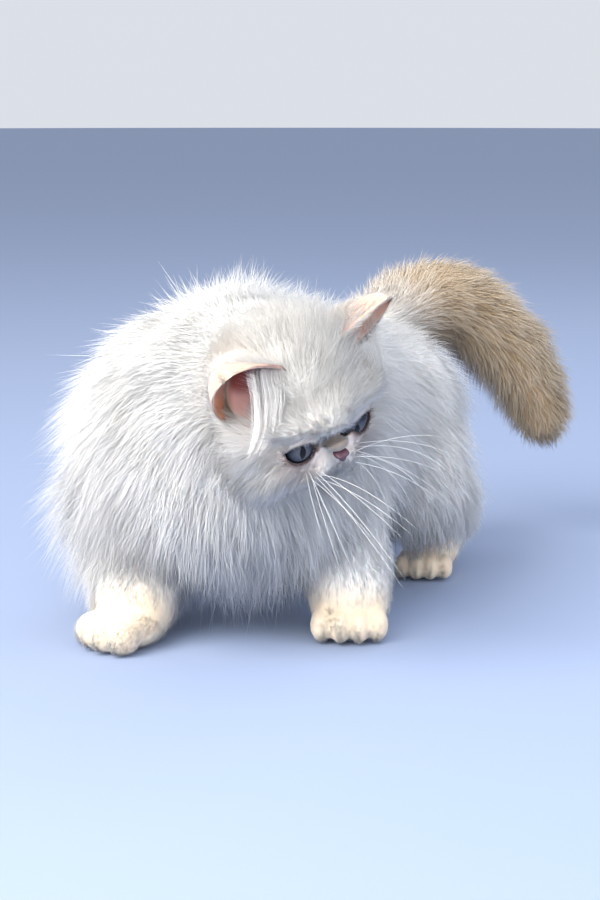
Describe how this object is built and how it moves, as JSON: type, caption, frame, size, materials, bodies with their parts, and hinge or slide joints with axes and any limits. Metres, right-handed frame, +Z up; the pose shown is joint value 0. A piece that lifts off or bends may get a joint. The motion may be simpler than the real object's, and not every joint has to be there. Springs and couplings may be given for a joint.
{
  "type": "persian cat",
  "caption": "Life-size Persian kitten standing low with its head turned down and to its left, a long white coat, cream ears, paws and plumed tail, and pale blue eyes.",
  "frame": {"origin": "middle of the whole model's box in plan, on the floor its paws stand on", "axes": "+X to the kitten's left, +Y from its chest towards its rump, +Z up"},
  "size_m": [0.1804, 0.348, 0.1573],
  "materials": {
    "white_coat": "long soft white fur with a silky sheen",
    "cream_coat": "soft cream fur of the ears, paws and tail",
    "eye": "wet pale blue eye with a dark slit pupil",
    "nose_leather": "moist pink nose leather"
  },
  "bodies": {
    "root": {"eye_right": "eye", "eye_left": "eye", "nose": "nose_leather", "head": "white_coat", "ear_right": "cream_coat", "ear_left": "cream_coat", "paw_front_right": "cream_coat", "paw_front_left": "cream_coat", "paw_hind_right": "cream_coat", "paw_hind_left": "cream_coat", "leg_front_right": "white_coat", "leg_front_left": "white_coat", "leg_hind_right": "white_coat", "leg_hind_left": "white_coat", "neck": "white_coat", "torso": "white_coat", "tail_base": "cream_coat", "tail_tip": "cream_coat"}
  },
  "joints": []
}
